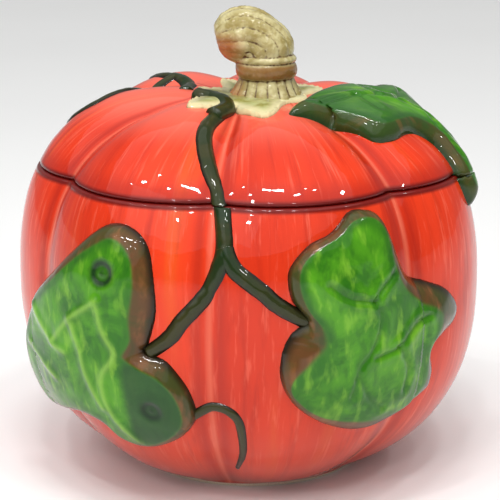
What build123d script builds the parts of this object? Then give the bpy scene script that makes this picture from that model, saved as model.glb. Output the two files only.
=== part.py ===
"""A lidded ceramic jar in the shape of a ribbed pumpkin, with leaves, vines and a curled stem in relief.

The jar is a slip-cast pot with a ring foot and a rolled-in gallery that carries the lid. The lid lifts
straight off. It has a locating ring below, and the stem is its knob. Leaves, vines, tendril, calyx and
stem are sprigs: each is cast by itself and joined to the wet clay, so each is a solid of its own that
starts exactly where the ribbed wall ends.

Frame: millimetres, +Z up, origin at the centre of the foot, the front of the jar towards -Y.
Longitude is measured in degrees from the front, positive to the right as seen from the front.
Latitude is 0 at the belly, negative below it and positive above it.
"""

import os
from math import cos, copysign, exp, hypot, pi, radians, sin

from build123d import *

# Pumpkin form
RIB_COUNT = 7
FIRST_GROOVE = -9.6  # longitude of the groove nearest the front, in degrees
BELLY_RADIUS = 112.0  # over the rib crests
BELLY_HEIGHT = 92.3
BASE_DROP = 98.9  # belly to the lower pole of the form, which lies below the foot
CROWN_RISE = 94.0  # belly to the upper pole of the form, before its dimple
LOWER_SQUARENESS = 0.84  # 1 is an ellipse, smaller is boxier
UPPER_SQUARENESS = 0.74
DIMPLE_DEPTH = 8.0
DIMPLE_RADIUS = 38.0
LEAN_FRONT = 0.05  # fall of the crown towards the front, mm per mm
LEAN_RIGHT = 0.03  # fall of the crown towards the right
BELLY_GROOVE = 4.6  # depth of the grooves between ribs at the belly
CROWN_GROOVE = 7.0  # depth of the grooves on the shoulder
GROOVE_FADE = 26.0  # radial distance over which grooves run out at the foot and at the crown
GROOVE_POWER = 0.36  # below 0.5 the groove is narrow and the rib between is broad
GROOVE_ROUND = 0.10  # roundness of the groove's bottom
CROWN_EDGE_LATITUDE = 80.5  # the form is closed by a flat inside this latitude, where the stem stands

# Walls, parting and foot
WALL = 6.0
SEAM_HEIGHT = 146.7
SEAM_GAP = 0.3  # relief pieces stop this far from the seam on each side
GALLERY_THICKNESS = 6.0
MOUTH_RADIUS = 84.0
LOCATING_CLEARANCE = 1.5
LOCATING_RING_WALL = 5.0
LOCATING_RING_DEPTH = 8.0
LID_RIM_THICKNESS = 5.0
FOOT_HEIGHT = 2.5
FOOT_RING_WIDTH = 8.0
FOOT_SETBACK = 2.0  # the foot ring stands in from where the belly starts

# Relief
LEAF_RELIEF = 6.5
CALYX_RELIEF = 2.0
VINE_RADIUS = 4.0
VINE_SINK = 1.2  # how far a vine's centreline lies below the wall's surface
LID_VINE_RADIUS = 3.2
LID_VINE_SINK = 1.6
TENDRIL_RADIUS = 2.6
TENDRIL_SINK = 0.8
VINE_STEPS = 14  # stations along each vine

# Stem knob
STEM_X = 7.5
STEM_Y = -9.0
STEM_FLARE_RADIUS = 16.0
STEM_NECK_RADIUS = 13.0
STEM_BAND_RADIUS = 14.6
NECK_STEP = 0.8  # the neck runs up inside the band, this much in from the band's edge
STEM_SKIRT_HEIGHT = 9.0  # calyx to the underside of the band
STEM_BAND_HEIGHT = 9.5
STEM_ROOT = 8.0  # extra length below the crown, cut off again where the calyx starts
STEM_FLUTES = 14
FLUTE_DEPTH = 2.0
HEAD_LENGTH = 38.0
HEAD_WIDTH = 27.0
HEAD_SHIFT = 6.5  # the head hangs over to the left of the neck
HEAD_TILT = 16.0  # the overhanging end dips by this angle, in degrees
HEAD_LIFT = 8.5  # head centre above the top of the band
HEAD_CUT = 4.0  # length cut off the overhanging end to leave its blunt face

# Meridian stations, in degrees of latitude, and stations across half a rib, as shares of it
BODY_LATITUDES = (-57, -50, -41, -31, -20, -9, 2, 13, 23)
LID_LATITUDES = (33, 41, 49, 57, 64, 70, 75.5)
HALF_RIB_SHARES = (0.06, 0.14, 0.28, 0.5, 0.75, 1.0)

# Where each leaf's centre lies: longitude and height of the wall there, distance of the drawing plane from the
# axis, and how far the plane is tilted up
FRONT_RIGHT_PLACE = (28.6, 94.6, 102, 1.4)
FRONT_LEFT_PLACE = (-35.8, 79.8, 99, -1.8)
BACK_PLACE = (176, 86, 102, 0)
SHOULDER_PLACE = (90, 165, 75, 50)

# Leaf outlines, in mm across and up from the leaf's centre, seen from outside
FRONT_RIGHT_LEAF = (
    (0, 50), (12, 42), (20, 20), (36, 12), (50, 6), (56, -4), (50, -14), (37, -17), (41, -32), (32, -44),
    (8, -53), (-12, -50), (-33, -36), (-42, -18), (-39, -4), (-31, 4), (-37, 16), (-38, 28), (-26, 38), (-10, 46),
)
FRONT_LEFT_LEAF = (
    (6, 58), (19, 53), (25, 42), (27, 24), (24, 6), (32, -2), (40, -16), (40, -30), (24, -42), (8, -46),
    (-6, -39), (-22, -37), (-42, -42), (-55, -35), (-61, -14), (-54, 8), (-46, 22), (-28, 36), (-10, 50),
)
SHOULDER_LEAF = (
    (-46, 52), (-43, 32), (-50, 14), (-34, 2), (-29, -12), (-36, -30), (-33, -44), (-20, -38), (-10, -24),
    (4, -26), (16, -22), (18, -6), (32, 0), (33, 16), (18, 24), (10, 36), (-10, 42), (-32, 50),
)
CALYX_OUTLINE = (
    (-29, -40), (-18, -39), (-9, -34), (-3, -41), (6, -52), (12, -46), (17, -26), (27, -18), (27, -8), (36, 6),
    (24, 12), (14, 26), (2, 15), (-14, 22), (-14, 6), (-26, -2), (-22, -14), (-27, -28),
)

# Vine routes, as longitude and latitude in degrees
FRONT_VINE = ((-7, 32), (-6, 22), (-6, 16), (-9, 10), (-13, 5), (-17, 1), (-24, -4))
FRONT_VINE_FORK = ((-6, 18), (-4, 13), (-1, 10), (3, 7), (7, 4), (14, 1))
BACK_VINE = ((-150, 32), (-153, 22), (-158, 14), (-165, 8), (-172, 4))
TENDRIL = ((-15, -21), (-10, -18), (-6, -18), (-3, -21), (-2, -27), (-2, -36), (-4, -46))
CALYX_VINE = ((-60, 81), (-42, 82), (-26, 80.5), (-18, 78), (-18, 75), (-20, 71))
LID_FRONT_VINE = ((-19, 75), (-20, 66), (-18, 58), (-15, 51), (-12, 43), (-9, 36), (-7, 26))
LID_BACK_VINE = ((-85, 80), (-112, 80), (-127, 75), (-132, 66), (-138, 54), (-145, 42), (-150, 26))
LID_LEFT_VINE = ((-130, 72), (-112, 68), (-98, 64), (-90, 58), (-90, 51), (-95, 44), (-101, 41))


# ---- the pumpkin's surface ----


def groove(longitude):
    """Share of the full groove depth at a longitude: 0 on a rib's crest, 1 in a groove."""
    across = abs(sin(RIB_COUNT * radians(longitude - FIRST_GROOVE) / 2))
    full = 1 + GROOVE_ROUND**2
    shape = (across**2 + GROOVE_ROUND**2) ** GROOVE_POWER
    return (full**GROOVE_POWER - shape) / (full**GROOVE_POWER - GROOVE_ROUND ** (2 * GROOVE_POWER))


def meridian(latitude):
    """A rib crest's radius and height at a latitude, with the outward normal's two parts."""
    c, s = cos(radians(latitude)), sin(radians(latitude))
    rise = CROWN_RISE if s > 0 else BASE_DROP
    square = UPPER_SQUARENESS if s > 0 else LOWER_SQUARENESS
    dimple = DIMPLE_DEPTH if s > 0 else 0.0
    radius = BELLY_RADIUS * c**square
    pit = dimple * exp(-((radius / DIMPLE_RADIUS) ** 2))
    pit -= dimple * exp(-((BELLY_RADIUS / DIMPLE_RADIUS) ** 2))
    height = BELLY_HEIGHT + copysign(rise * abs(s) ** square, s) - pit
    run = -BELLY_RADIUS * s * abs(s) ** (1 - square)
    climb = rise * c ** (2 - square) + 2 * pit * radius / DIMPLE_RADIUS**2 * run
    length = hypot(run, climb)
    return radius, height, climb / length, -run / length


def groove_depth(radius, height):
    """Groove depth at a station of the meridian, running out at the foot and at the crown."""
    blend = min(1.0, max(0.0, (height - BELLY_HEIGHT) / (CROWN_RISE * 0.75)))
    depth = BELLY_GROOVE + (CROWN_GROOVE - BELLY_GROOVE) * blend
    start = FOOT_RADIUS if height < BELLY_HEIGHT else CROWN_EDGE_RADIUS
    fade = min(1.0, max(0.0, (radius - start) / GROOVE_FADE))
    return depth * fade**0.5


def surface_point(longitude, latitude, proud=0.0):
    """A point of the ribbed form, moved out along its normal by proud."""
    radius, height, out, up = meridian(latitude)
    shift = proud - groove_depth(radius, height) * groove(longitude)
    radius += shift * out
    height += shift * up
    x = radius * sin(radians(longitude))
    y = -radius * cos(radians(longitude))
    lean = max(0.0, (height - SEAM_HEIGHT) / (CROWN_HEIGHT - SEAM_HEIGHT))
    return Vector(x, y, height + lean * (LEAN_FRONT * y - LEAN_RIGHT * x))


def latitude_at(height, low=-89.0, high=60.0):
    """The latitude where the rib crest has that height, by bisection."""
    while high - low > 1e-6:
        middle = (low + high) / 2
        if meridian(middle)[1] < height:
            low = middle
        else:
            high = middle
    return low


FOOT_LATITUDE = latitude_at(FOOT_HEIGHT)
FOOT_RADIUS = meridian(FOOT_LATITUDE)[0]
CROWN_EDGE_RADIUS = meridian(CROWN_EDGE_LATITUDE)[0]
CROWN_HEIGHT = meridian(CROWN_EDGE_LATITUDE)[1]
FOOT_RING_RADIUS = FOOT_RADIUS - FOOT_SETBACK
LOCATING_RADIUS = MOUTH_RADIUS - LOCATING_CLEARANCE
STATIONS = (FOOT_LATITUDE, *BODY_LATITUDES, *LID_LATITUDES, CROWN_EDGE_LATITUDE)
HALF_RIB = 180 / RIB_COUNT


def rib_longitudes():
    """Longitudes of the ring's points: closer together near each groove."""
    for rib in range(RIB_COUNT):
        start = FIRST_GROOVE + 2 * HALF_RIB * rib
        yield start
        yield from (start + HALF_RIB * share for share in HALF_RIB_SHARES)
        yield from (start + HALF_RIB * (2 - share) for share in reversed(HALF_RIB_SHARES[:-1]))


def closed_spline(points, turns):
    """A closed curve through points. Equal turns give equal knots, so a loft of such curves stays light."""
    with BuildLine() as ring:
        add(Edge.make_spline(points, periodic=True, parameters=[*turns, 1.0]))
    return ring.wire()


def rib_ring(latitude, proud):
    """The closed curve of the ribbed form at one latitude."""
    longitudes = list(rib_longitudes())
    points = [surface_point(longitude, latitude, proud) for longitude in longitudes]
    return closed_spline(points, [(longitude - FIRST_GROOVE) / 360 for longitude in longitudes])


def pumpkin(proud=0.0):
    """The whole ribbed form as one solid, from the foot to the crown."""
    return Solid.make_loft([rib_ring(latitude, proud) for latitude in STATIONS])


SEAM = Plane.XY.offset(SEAM_HEIGHT)
outer_form = pumpkin()
inner_form = pumpkin(-WALL)
leaf_form = pumpkin(LEAF_RELIEF)
calyx_form = pumpkin(CALYX_RELIEF)

# ---- jar ----

with BuildPart() as jar_cavity:
    add(inner_form)
    split(bisect_by=SEAM.offset(-GALLERY_THICKNESS), keep=Keep.BOTTOM)

with BuildPart() as jar_body:
    add(outer_form)
    split(bisect_by=SEAM, keep=Keep.BOTTOM)
    with BuildSketch():
        Circle(FOOT_RING_RADIUS)
        Circle(FOOT_RING_RADIUS - FOOT_RING_WIDTH, mode=Mode.SUBTRACT)
    extrude(amount=FOOT_HEIGHT)
    add(jar_cavity.part, mode=Mode.SUBTRACT)
    with BuildSketch(SEAM):
        Circle(MOUTH_RADIUS)
    extrude(amount=-2 * GALLERY_THICKNESS, mode=Mode.SUBTRACT)

# ---- lid ----

with BuildPart() as lid_cavity:
    add(inner_form)
    split(bisect_by=SEAM.offset(LID_RIM_THICKNESS), keep=Keep.TOP)

with BuildPart() as lid_shell:
    add(outer_form)
    split(bisect_by=SEAM, keep=Keep.TOP)
    with BuildSketch(SEAM.offset(-LOCATING_RING_DEPTH)):
        Circle(LOCATING_RADIUS)
    extrude(amount=LOCATING_RING_DEPTH)
    add(lid_cavity.part, mode=Mode.SUBTRACT)
    with BuildSketch(SEAM.offset(-LOCATING_RING_DEPTH)):
        Circle(LOCATING_RADIUS - LOCATING_RING_WALL)
    extrude(amount=LOCATING_RING_DEPTH + 2 * LID_RIM_THICKNESS, mode=Mode.SUBTRACT)

# ---- leaves ----


def leaf_plane(longitude, height, radius, tilt):
    """The plane a leaf is drawn on: X to the right, Y up the wall, Z out of the wall, tilted up by tilt degrees."""
    a, t = radians(longitude), radians(tilt)
    origin = Vector(radius * sin(a), -radius * cos(a), height)
    return Plane(origin, x_dir=(cos(a), sin(a), 0), z_dir=(sin(a) * cos(t), -cos(a) * cos(t), sin(t)))


def relief(plane, outline, form):
    """What an outline, seen square on to its plane, takes of the layer between the wall and form."""
    with BuildPart() as piece:
        with BuildSketch(plane.offset(-BELLY_RADIUS / 2)):
            with BuildLine():
                Spline(*outline, periodic=True)
            make_face()
        extrude(amount=BELLY_RADIUS)
        add(form, mode=Mode.INTERSECT)
        add(outer_form, mode=Mode.SUBTRACT)
    return piece.part


def below_seam(shape):
    with BuildPart() as kept:
        add(shape)
        split(bisect_by=SEAM.offset(-SEAM_GAP), keep=Keep.BOTTOM)
    return kept.part


def above_seam(shape):
    with BuildPart() as kept:
        add(shape)
        split(bisect_by=SEAM.offset(SEAM_GAP), keep=Keep.TOP)
    return kept.part


right_leaf = below_seam(relief(leaf_plane(*FRONT_RIGHT_PLACE), FRONT_RIGHT_LEAF, leaf_form))
left_leaf = below_seam(relief(leaf_plane(*FRONT_LEFT_PLACE), FRONT_LEFT_LEAF, leaf_form))
back_leaf = below_seam(relief(leaf_plane(*BACK_PLACE), FRONT_RIGHT_LEAF, leaf_form))
shoulder_relief = relief(leaf_plane(*SHOULDER_PLACE), SHOULDER_LEAF, leaf_form)
shoulder_leaf_tip = below_seam(shoulder_relief)

calyx_plane = Plane.XY.offset(CROWN_HEIGHT)
calyx = relief(calyx_plane, CALYX_OUTLINE, calyx_form)

with BuildPart() as shoulder_leaf:
    add(above_seam(shoulder_relief))
    add(calyx, mode=Mode.SUBTRACT)

# ---- vines and tendril ----


def vine(route, radius, sink):
    """A round rod laid along a route on the wall, with only its proud part kept."""
    with BuildLine() as guide:
        Spline(*route)
    shares = [step / VINE_STEPS for step in range(VINE_STEPS + 1)]
    stations = [guide.line @ share for share in shares]
    with BuildLine() as path:
        Spline(*(surface_point(station.X, station.Y, -sink) for station in stations))
    with BuildPart() as rod:
        for share in shares:
            with BuildSketch(Plane(path.line @ share, z_dir=path.line % share)):
                Circle(radius)
        loft()
        add(outer_form, mode=Mode.SUBTRACT)
    return rod.part


def joined(*shapes):
    with BuildPart() as whole:
        for shape in shapes:
            add(shape)
    return whole.part


def without(shape, *others):
    with BuildPart() as rest:
        add(shape)
        for other in others:
            add(other, mode=Mode.SUBTRACT)
    return rest.part


front_runs = joined(vine(FRONT_VINE, VINE_RADIUS, VINE_SINK), vine(FRONT_VINE_FORK, VINE_RADIUS, VINE_SINK))
front_vine = without(below_seam(front_runs), left_leaf, right_leaf)
back_vine = without(below_seam(vine(BACK_VINE, VINE_RADIUS, VINE_SINK)), back_leaf)
tendril = without(vine(TENDRIL, TENDRIL_RADIUS, TENDRIL_SINK), left_leaf)
lid_front_runs = joined(
    vine(LID_FRONT_VINE, LID_VINE_RADIUS, LID_VINE_SINK),
    vine(CALYX_VINE, LID_VINE_RADIUS, LID_VINE_SINK - CALYX_RELIEF),
)
lid_front_vine = without(above_seam(lid_front_runs), calyx)
lid_back_runs = joined(
    vine(LID_BACK_VINE, LID_VINE_RADIUS, LID_VINE_SINK),
    vine(LID_LEFT_VINE, LID_VINE_RADIUS, LID_VINE_SINK),
)
lid_back_vine = without(above_seam(lid_back_runs), calyx)

# ---- stem knob ----

calyx_top_height = CROWN_HEIGHT + CALYX_RELIEF * meridian(CROWN_EDGE_LATITUDE)[3]
calyx_lean = (calyx_top_height - SEAM_HEIGHT) / (CROWN_HEIGHT - SEAM_HEIGHT)
calyx_normal = Vector(calyx_lean * LEAN_RIGHT, -calyx_lean * LEAN_FRONT, 1)
calyx_top = Plane((0, 0, calyx_top_height), z_dir=calyx_normal)
stem_foot_height = calyx_top_height + calyx_lean * (LEAN_FRONT * STEM_Y - LEAN_RIGHT * STEM_X)
band_height = stem_foot_height + STEM_SKIRT_HEIGHT
band_top = band_height + STEM_BAND_HEIGHT
head_centre = Vector(STEM_X - HEAD_SHIFT, STEM_Y, band_top + HEAD_LIFT)
head_axis = Vector(-cos(radians(HEAD_TILT)), 0, -sin(radians(HEAD_TILT)))


def fluted_ring(radius, height):
    """A ring of the stem's skirt, with the flutes as deep as the skirt is wider than the neck."""
    depth = FLUTE_DEPTH * max(0.0, radius - STEM_NECK_RADIUS) / (STEM_FLARE_RADIUS - STEM_NECK_RADIUS)
    turns = [step / (4 * STEM_FLUTES) for step in range(4 * STEM_FLUTES)]
    angles = [2 * pi * turn for turn in turns]
    radii = [radius - depth * sin(STEM_FLUTES * angle / 2) ** 2 for angle in angles]
    points = [Vector(STEM_X + r * cos(a), STEM_Y + r * sin(a), height) for r, a in zip(radii, angles)]
    return closed_spline(points, turns)


with BuildPart() as stem_head:
    with BuildSketch(Plane(head_centre, x_dir=head_axis, z_dir=(0, -1, 0))):
        Ellipse(HEAD_LENGTH / 2, HEAD_WIDTH / 2)
        with Locations((0, -HEAD_WIDTH / 2)):
            Rectangle(HEAD_LENGTH, HEAD_WIDTH, mode=Mode.SUBTRACT)
    revolve(axis=Axis(head_centre, head_axis))
    cut_face = head_centre + head_axis * (HEAD_LENGTH / 2 - HEAD_CUT)
    split(bisect_by=Plane(cut_face, z_dir=head_axis), keep=Keep.BOTTOM)

skirt_sizes = (
    (STEM_FLARE_RADIUS + 1, stem_foot_height - STEM_ROOT),
    (STEM_FLARE_RADIUS, stem_foot_height),
    (STEM_NECK_RADIUS + 1.2, stem_foot_height + STEM_SKIRT_HEIGHT / 2),
    (STEM_NECK_RADIUS - NECK_STEP, band_height),
    (STEM_NECK_RADIUS - NECK_STEP, band_height + STEM_BAND_HEIGHT / 2),
)

with BuildPart() as stem_knob:
    add(Solid.make_loft([fluted_ring(radius, height) for radius, height in skirt_sizes]))
    with BuildSketch(Plane((STEM_X, STEM_Y, band_height), x_dir=(1, 0, 0), z_dir=(0, -1, 0))):
        with BuildLine():
            Polyline((STEM_NECK_RADIUS, 0), (0, 0), (0, STEM_BAND_HEIGHT), (STEM_NECK_RADIUS, STEM_BAND_HEIGHT))
            ThreePointArc(
                (STEM_NECK_RADIUS, 0),
                (STEM_BAND_RADIUS, STEM_BAND_HEIGHT / 2),
                (STEM_NECK_RADIUS, STEM_BAND_HEIGHT),
            )
        make_face()
    revolve(axis=Axis((STEM_X, STEM_Y, 0), (0, 0, 1)))
    add(stem_head.part)
    split(bisect_by=calyx_top, keep=Keep.TOP)

# ---- export ----

pieces = {
    "jar_body": jar_body.part,
    "lid_shell": lid_shell.part,
    "leaf_front_left": left_leaf,
    "leaf_front_right": right_leaf,
    "leaf_back": back_leaf,
    "leaf_shoulder_tip": shoulder_leaf_tip,
    "leaf_shoulder": shoulder_leaf.part,
    "calyx": calyx,
    "vine_front": front_vine,
    "vine_back": back_vine,
    "tendril": tendril,
    "vine_lid_front": lid_front_vine,
    "vine_lid_back": lid_back_vine,
    "stem_knob": stem_knob.part,
}

os.makedirs("parts", exist_ok=True)
for name, piece in pieces.items():
    piece.label = name
    export_step(piece, f"parts/{name}.step")
    print(f"{name:18s} {piece.volume / 1000:8.2f} cm3  {piece.bounding_box()}")
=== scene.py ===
# %% [markdown]
# # A glazed pumpkin jar
#
# A cast jar with a lift-off lid, covered in hand-painted relief: leaves, vines, a calyx and a curled
# stem. The CAD frame fixes where everything is. Here every piece is modelled again at the fineness of a
# hand-finished cast: the same ribbed form as a dense mesh, the leaves as height fields pressed onto it,
# the vines as rods that follow it, and the stem as a sculpted lump. Lengths are in metres, angles in
# degrees.

# %% The frame
import math
from functools import partial

import bmesh
import bpy
import numpy as np
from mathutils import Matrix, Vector, noise
from mathutils.bvhtree import BVHTree
from mathutils.geometry import delaunay_2d_cdt


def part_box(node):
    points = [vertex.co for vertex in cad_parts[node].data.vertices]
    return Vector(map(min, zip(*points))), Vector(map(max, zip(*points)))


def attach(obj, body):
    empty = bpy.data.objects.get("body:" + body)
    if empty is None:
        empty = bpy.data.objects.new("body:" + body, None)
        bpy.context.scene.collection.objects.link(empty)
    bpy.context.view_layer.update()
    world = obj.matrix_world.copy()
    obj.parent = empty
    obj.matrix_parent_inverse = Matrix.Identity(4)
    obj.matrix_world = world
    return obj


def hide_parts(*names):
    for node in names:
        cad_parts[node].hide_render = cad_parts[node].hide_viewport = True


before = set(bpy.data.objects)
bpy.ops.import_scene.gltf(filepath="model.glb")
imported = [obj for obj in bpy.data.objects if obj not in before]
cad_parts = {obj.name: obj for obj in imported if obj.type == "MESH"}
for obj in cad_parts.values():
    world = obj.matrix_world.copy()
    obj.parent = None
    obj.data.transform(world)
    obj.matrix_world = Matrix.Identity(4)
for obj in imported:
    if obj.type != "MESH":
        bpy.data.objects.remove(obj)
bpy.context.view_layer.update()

# %% [markdown]
# ## The pumpkin's form
#
# One formula gives the whole skin: a squared-off ellipse as the meridian, a dimple at the crown, seven
# grooves and a crown that leans forward and to the right. Everything that touches the skin is placed with
# it, in longitude (0 at the front, positive to the right) and latitude (0 at the belly).

# %% The form's sizes and formula
MM = 0.001
RIB_COUNT = 7
FIRST_GROOVE = -9.6
BELLY_RADIUS = 112.0 * MM
BELLY_HEIGHT = 92.3 * MM
BASE_DROP = 98.9 * MM
CROWN_RISE = 94.0 * MM
LOWER_SQUARENESS = 0.84
UPPER_SQUARENESS = 0.74
DIMPLE_DEPTH = 8.0 * MM
DIMPLE_RADIUS = 38.0 * MM
LEAN_FRONT = 0.05
LEAN_RIGHT = 0.03
BELLY_GROOVE = 4.6 * MM
CROWN_GROOVE = 7.0 * MM
GROOVE_FADE = 26.0 * MM
GROOVE_ROUND = 0.05
GROOVE_POWER = 0.36  # below 0.5 a groove is narrow and the rib between is broad
WALL = 6.0 * MM
SEAM = 146.7 * MM
GALLERY = 6.0 * MM
MOUTH_RADIUS = 84.0 * MM
LOCATING_RADIUS = 82.5 * MM
LOCATING_WALL = 5.0 * MM
LOCATING_DEPTH = 8.0 * MM
LID_RIM = 5.0 * MM
FOOT_HEIGHT = 2.5 * MM
FOOT_WIDTH = 8.0 * MM
EDGE = 1.6 * MM  # rounding of the two rims that meet at the seam


def groove(longitude):
    """Share of the full groove depth: 0 on a rib's crest, 1 in a groove."""
    across = np.abs(np.sin(RIB_COUNT * np.radians(longitude - FIRST_GROOVE) / 2))
    full = 1 + GROOVE_ROUND**2
    shape = (across**2 + GROOVE_ROUND**2) ** GROOVE_POWER
    full = full**GROOVE_POWER
    return (full - shape) / (full - GROOVE_ROUND ** (2 * GROOVE_POWER))


def meridian(latitude):
    """A rib crest's radius and height, and the outward normal's two parts."""
    c = np.cos(np.radians(latitude))
    s = np.sin(np.radians(latitude))
    upper = s > 0
    rise = np.where(upper, CROWN_RISE, BASE_DROP)
    square = np.where(upper, UPPER_SQUARENESS, LOWER_SQUARENESS)
    radius = BELLY_RADIUS * c**square
    pit = np.exp(-((radius / DIMPLE_RADIUS) ** 2)) - math.exp(-((BELLY_RADIUS / DIMPLE_RADIUS) ** 2))
    pit = np.where(upper, DIMPLE_DEPTH * pit, 0.0)
    height = BELLY_HEIGHT + np.copysign(rise * np.abs(s) ** square, s) - pit
    run = -BELLY_RADIUS * s * np.abs(s) ** (1 - square)
    climb = rise * c ** (2 - square) + 2 * pit * radius / DIMPLE_RADIUS**2 * run
    length = np.hypot(run, climb)
    return radius, height, climb / length, -run / length


def latitude_at(height, longitude, proud=0.0, low=-89.0, high=60.0):
    """The latitudes where the skin has that height, one for each longitude, by bisection."""
    low = np.full(len(longitude), low)
    high = np.full(len(longitude), high)
    for _ in range(40):
        middle = (low + high) / 2
        below = skin(longitude, middle, proud)[:, 2] < height
        low = np.where(below, middle, low)
        high = np.where(below, high, middle)
    return low


def skin(longitude, latitude, proud=0.0, ribbed=1.0):
    """Points of the ribbed skin, moved out along its normal by proud. ribbed below 1 fills the grooves."""
    longitude, latitude = np.broadcast_arrays(np.asarray(longitude, float), np.asarray(latitude, float))
    radius, height, out, up = meridian(latitude)
    blend = np.clip((height - BELLY_HEIGHT) / (CROWN_RISE * 0.75), 0, 1)
    depth = BELLY_GROOVE + (CROWN_GROOVE - BELLY_GROOVE) * blend
    start = np.where(height < BELLY_HEIGHT, FOOT_RADIUS, CROWN_EDGE_RADIUS)
    fade = np.clip((radius - start) / GROOVE_FADE, 0, 1)
    shift = proud - depth * fade**0.5 * groove(longitude) * ribbed
    radius = radius + shift * out
    height = height + shift * up
    x = radius * np.sin(np.radians(longitude))
    y = -radius * np.cos(np.radians(longitude))
    lean = np.maximum(0, (height - SEAM) / (CROWN_HEIGHT - SEAM))
    return np.stack([x, y, height + lean * (LEAN_FRONT * y - LEAN_RIGHT * x)], axis=-1)


FOOT_LATITUDE = -63.06
CROWN_EDGE_LATITUDE = 80.5
FOOT_RADIUS = float(meridian(np.array(FOOT_LATITUDE))[0])
CROWN_EDGE_RADIUS, CROWN_HEIGHT = (float(value) for value in meridian(np.array(CROWN_EDGE_LATITUDE))[:2])
AROUND = 420
longitudes = np.arange(AROUND) * 360 / AROUND - 180
print("foot radius", round(FOOT_RADIUS, 4), "crown height", round(CROWN_HEIGHT, 4))

# %% [markdown]
# ## Node and mesh helpers
#
# Colours are written as the sRGB hex values one would mix for the glaze, and turned to linear in one
# place. Every shader below is a few calls of `add_node`, with short names for the kinds used most. A
# noise's scale is one over the size of its patches in metres: 26 gives washes about 38 mm across, 120
# strokes 8 mm wide and 420 bristle marks 2.4 mm wide, drawn a little coarser than a real brush leaves.

# %% Helpers


def hex_color(code):
    """sRGB hex to linear RGBA."""
    channels = [int(code[i : i + 2], 16) / 255 for i in (1, 3, 5)]
    linear = [c / 12.92 if c <= 0.04045 else ((c + 0.055) / 1.055) ** 2.4 for c in channels]
    return (*linear, 1.0)


SHORT_KINDS = {  # short name: Blender's node, its settings, the inputs that values fill in order, the output
    "object_position": ("ShaderNodeTexCoord", {}, (), "Object"),
    "stored_value": ("ShaderNodeAttribute", {}, (), "Fac"),
    "stored_place": ("ShaderNodeAttribute", {}, (), "Vector"),
    "noise": ("ShaderNodeTexNoise", {}, ("Vector", "Scale", "Detail", "Roughness", "Distortion"), "Fac"),
    "stretch": ("ShaderNodeMapping", {}, ("Vector", "Scale"), "Vector"),
    "bump": ("ShaderNodeBump", {}, ("Strength", "Distance", "Height"), "Normal"),
    "calculate": ("ShaderNodeMath", {}, (0, 1), 0),
    "times": ("ShaderNodeMath", {"operation": "MULTIPLY", "use_clamp": True}, (0, 1), 0),
    "mix": ("ShaderNodeMix", {"data_type": "RGBA"}, ("Factor_Float", "A_Color", "B_Color"), 2),
    "ease": (  # from To Min to To Max as the value goes from From Min to From Max
        "ShaderNodeMapRange", {"interpolation_type": "SMOOTHSTEP"},
        ("Value", "From Min", "From Max", "To Min", "To Max"), "Result",
    ),
}


def add_node(tree, kind, *values, **settings):
    """Adds a node with its settings and links. A value is a number, a hex colour or a node's output.

    A short kind takes its values in the table's order and gives its output. Any other kind takes one
    dictionary, from the name, identifier or place of an input to its value, and gives the node.
    """
    blender_name, fixed, order, output = SHORT_KINDS.get(kind, (kind, {}, None, None))
    node = tree.nodes.new(blender_name)
    for key, value in {**fixed, **settings}.items():
        setattr(node, key, value)
    inputs = dict(*values) if order is None else dict(zip(order, values))
    for key, value in inputs.items():
        named = [socket for socket in node.inputs if socket.identifier == key]
        socket = named[0] if named else node.inputs[key]
        if isinstance(value, bpy.types.NodeSocket):
            tree.links.new(value, socket)
        else:
            socket.default_value = hex_color(value) if isinstance(value, str) else value
    return node if order is None else node.outputs[output]


def new_material(name, slot_name, paint):
    """A material whose nodes the function paint adds, by add_node on its tree. It remembers its slot."""
    material = bpy.data.materials.new(name)
    material.use_nodes = True
    tree = material.node_tree
    tree.nodes.clear()
    add = partial(add_node, tree)
    shader = add("ShaderNodeBsdfPrincipled", {})
    add("ShaderNodeOutputMaterial", {"Surface": shader.outputs[0]})
    paint(add, shader)
    material["slot"] = slot_name
    return material


def glaze(add, shader, color, bump_height=None, bump=0.25, coat=0.8, roughness=0.36):
    """Underglaze paint under a clear gloss coat, with the slight orange-peel of a dipped glaze."""
    link = shader.id_data.links.new
    link(color, shader.inputs["Base Color"])
    shader.inputs["Roughness"].default_value = roughness
    shader.inputs["Specular IOR Level"].default_value = 0.05
    shader.inputs["Coat Weight"].default_value = coat
    shader.inputs["Coat Roughness"].default_value = 0.02
    shader.inputs["Coat IOR"].default_value = 1.42
    peel = add("noise", add("object_position"), 95.0, 2.0)  # orange peel about 10 mm across
    link(add("bump", 0.12, 0.8 * MM, peel), shader.inputs["Coat Normal"])
    if bump_height is not None:
        link(add("bump", bump, 0.6 * MM, bump_height), shader.inputs["Normal"])


def add_object(name, data):
    """An object in the scene."""
    item = bpy.data.objects.new(name, data)
    bpy.context.scene.collection.objects.link(item)
    return item


def baked_mesh(source):
    """The mesh of an object with its modifiers applied. The object itself is removed."""
    result = source.evaluated_get(bpy.context.evaluated_depsgraph_get())
    mesh = bpy.data.meshes.new_from_object(result)
    bpy.data.objects.remove(source)
    return mesh


def quads_between(rings, around):
    """The faces between rings of points, one ring after the other and each of them closed."""
    start = np.arange(around)
    after = (start + 1) % around
    faces = []
    for low in range(0, (rings - 1) * around, around):
        high = low + around
        faces += zip(low + start, low + after, high + after, high + start)
    return faces


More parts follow.
